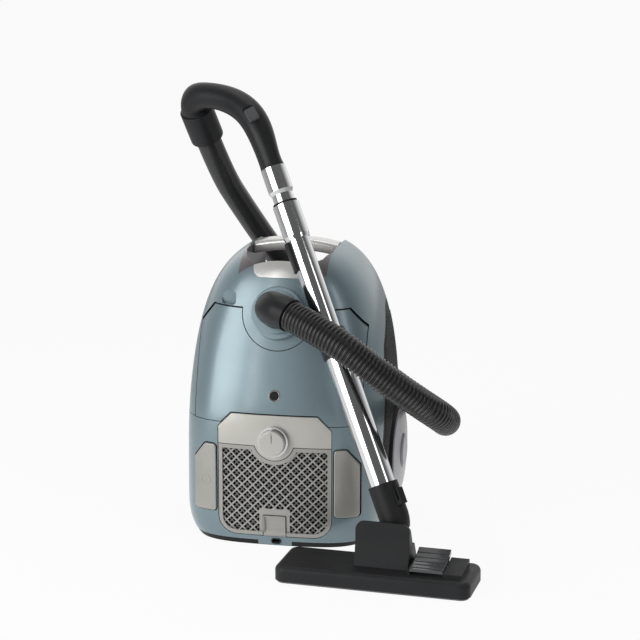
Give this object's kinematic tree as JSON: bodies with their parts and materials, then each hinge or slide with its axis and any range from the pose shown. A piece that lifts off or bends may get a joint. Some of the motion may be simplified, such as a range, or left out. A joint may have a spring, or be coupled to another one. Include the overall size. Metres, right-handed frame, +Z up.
{
  "type": "canister vacuum cleaner",
  "caption": "Canister vacuum cleaner parked upright on its rear end, with ribbed hose, telescopic wand and floor head standing in front of it.",
  "frame": {"origin": "in the flat rear plate that the parked canister stands on, on the canister's middle plane", "axes": "+X to the right seen from the front, +Y towards the underside with the wheels, +Z up"},
  "size_m": [0.4697, 0.4932, 0.6336],
  "materials": {
    "blue_shell": "satin metallic blue-grey",
    "silver_trim": "satin warm silver",
    "black_plastic": "fine-grained black",
    "dark_gloss": "smooth glossy black",
    "chrome_tube": "polished",
    "grey_plastic": "plain mid grey",
    "wheel_grey": "glossy pale mauve grey",
    "pedal_grey": "glossy ribbed grey",
    "hose_black": "glossy black ribs",
    "rubber_black": "matt rubber",
    "steel": "plain turned steel",
    "window": "dark tinted window",
    "bag_paper": "plain filter fleece",
    "filter_white": "pleated filter fleece",
    "board_green": "coated circuit board",
    "motor_alloy": "stacked alloy"
  },
  "bodies": {
    "canister": {"base_shell": "black_plastic", "upper_shell": "blue_shell", "rear_cowl": "blue_shell", "carry_handle": "silver_trim", "grip_lip": "silver_trim", "inlet_ring": "blue_shell", "control_panel": "silver_trim", "knob_ring": "chrome_tube", "cord_outlet": "dark_gloss", "wheel_axles": "steel", "lid_hinge_pins": "steel", "casing_screws": "steel", "dust_bag": "bag_paper", "bag_holder": "grey_plastic", "motor_filter": "filter_white", "motor_housing": "grey_plastic", "motor_mounts": "rubber_black", "reel_axle": "steel", "control_board": "board_green", "rewind_spring": "steel", "power_spring": "steel", "hose": "hose_black", "hose_inlet_cuff": "dark_gloss"},
    "lid": {"dust_lid": "blue_shell", "lid_seal": "rubber_black", "indicator_ring": "chrome_tube", "indicator_window": "window"},
    "suction_knob": {"power_knob": "silver_trim"},
    "grille": {"exhaust_grille": "silver_trim", "exhaust_filter": "filter_white"},
    "latch": {"grille_latch": "silver_trim"},
    "rewind_key": {"rewind_pedal": "silver_trim"},
    "power_key": {"power_pedal": "silver_trim"},
    "left_wheel": {"wheel_left": "wheel_grey", "tyre_left": "rubber_black", "hub_cap_left": "wheel_grey"},
    "right_wheel": {"wheel_right": "wheel_grey", "tyre_right": "rubber_black", "hub_cap_right": "wheel_grey"},
    "castor": {"caster_fork": "black_plastic", "caster_axle": "steel"},
    "castor_roller": {"caster_wheel": "grey_plastic"},
    "reel": {"cord_reel": "grey_plastic"},
    "rotor": {"motor_rotor": "motor_alloy"},
    "wand": {"upper_tube": "chrome_tube", "wand_handle": "dark_gloss", "handle_ferrule": "chrome_tube", "tube_clip": "black_plastic", "hose_handle_cuff": "dark_gloss"},
    "slider": {"suction_slider": "dark_gloss"},
    "lower_wand": {"lower_tube": "chrome_tube", "tube_lock": "dark_gloss", "neck_socket": "dark_gloss", "park_hook": "black_plastic"},
    "release_button": {"lock_button": "pedal_grey"},
    "neck": {"neck_knuckle": "black_plastic"},
    "head": {"floor_head": "black_plastic", "floor_sole": "grey_plastic"},
    "brush_key": {"brush_pedal": "pedal_grey"},
    "brush": {"brush_strip": "rubber_black"}
  },
  "joints": [
    {"name": "lid_hinge", "type": "hinge", "parent": "canister", "child": "lid", "pos_m": [0, -0.1035, 0.181], "axis": [1, 0, 0], "range_deg": [0, 6]},
    {"name": "knob_turn", "type": "hinge", "parent": "canister", "child": "suction_knob", "pos_m": [0, -0.113, 0.1535], "axis": [0, -1, 0], "range_deg": [-135, 135]},
    {"name": "grille_hinge", "type": "hinge", "parent": "canister", "child": "grille", "pos_m": [0, -0.113, 0.145], "axis": [-1, 0, 0], "range_deg": [0, 20]},
    {"name": "latch_press", "type": "slide", "parent": "grille", "child": "latch", "axis": [0, 1, 0], "range_m": [0, 0.002], "stiffness_N_per_m": 800},
    {"name": "rewind_press", "type": "slide", "parent": "canister", "child": "rewind_key", "axis": [0, 1, 0], "range_m": [0, 0.004], "stiffness_N_per_m": 1500, "deforming": ["rewind_spring"]},
    {"name": "power_press", "type": "slide", "parent": "canister", "child": "power_key", "axis": [0, 1, 0], "range_m": [0, 0.004], "stiffness_N_per_m": 1500, "deforming": ["power_spring"]},
    {"name": "left_wheel_spin", "type": "hinge", "parent": "canister", "child": "left_wheel", "pos_m": [-0.14, 0.06, 0.1], "axis": [1, 0, 0], "continuous": true},
    {"name": "right_wheel_spin", "type": "hinge", "parent": "canister", "child": "right_wheel", "pos_m": [0.14, 0.06, 0.1], "axis": [1, 0, 0], "continuous": true},
    {"name": "castor_swivel", "type": "hinge", "parent": "canister", "child": "castor", "pos_m": [0, 0.1, 0.29], "axis": [0, 1, 0], "continuous": true},
    {"name": "castor_spin", "type": "hinge", "parent": "castor", "child": "castor_roller", "pos_m": [0, 0.114, 0.282], "axis": [1, 0, 0], "continuous": true},
    {"name": "reel_spin", "type": "hinge", "parent": "canister", "child": "reel", "pos_m": [-0.07, 0.01, 0.095], "axis": [1, 0, 0], "continuous": true},
    {"name": "rotor_spin", "type": "hinge", "parent": "canister", "child": "rotor", "pos_m": [0.052, 0.015, 0.11], "axis": [0, 0, 1], "continuous": true},
    {"name": "wand_lift", "type": "slide", "parent": "canister", "child": "wand", "axis": [0, 0, 1], "range_m": [0, 0.1], "deforming": ["hose"]},
    {"name": "air_slide", "type": "slide", "parent": "wand", "child": "slider", "axis": [-0.5641, 0.4433, 0.6967], "range_m": [0, 0.006]},
    {"name": "wand_telescope", "type": "slide", "parent": "wand", "child": "lower_wand", "axis": [-0.3879, 0.2818, 0.8776], "range_m": [0, 0.045]},
    {"name": "lock_press", "type": "slide", "parent": "lower_wand", "child": "release_button", "axis": [-0.71, 0.5158, -0.4794], "range_m": [0, 0.002], "stiffness_N_per_m": 800},
    {"name": "neck_swivel", "type": "hinge", "parent": "lower_wand", "child": "neck", "pos_m": [0.18445, -0.19768, 0.072], "axis": [0, 0, 1], "range_deg": [-15, 90]},
    {"name": "neck_tilt", "type": "hinge", "parent": "neck", "child": "head", "pos_m": [0.18445, -0.19768, 0.038], "axis": [0.9971, -0.0767, 0], "range_deg": [-6, 15]},
    {"name": "brush_rock", "type": "hinge", "parent": "head", "child": "brush_key", "pos_m": [0.16592, -0.222, 0.029], "axis": [-0.9971, 0.0767, 0], "range_deg": [0, 12]},
    {"name": "brush_drop", "type": "slide", "parent": "head", "child": "brush", "axis": [0, 0, -1], "range_m": [0, 0.004]}
  ],
  "couplings": [
    {"joint": "brush_drop", "follows": "brush_rock", "m_per_rad": 0.019099}
  ]
}
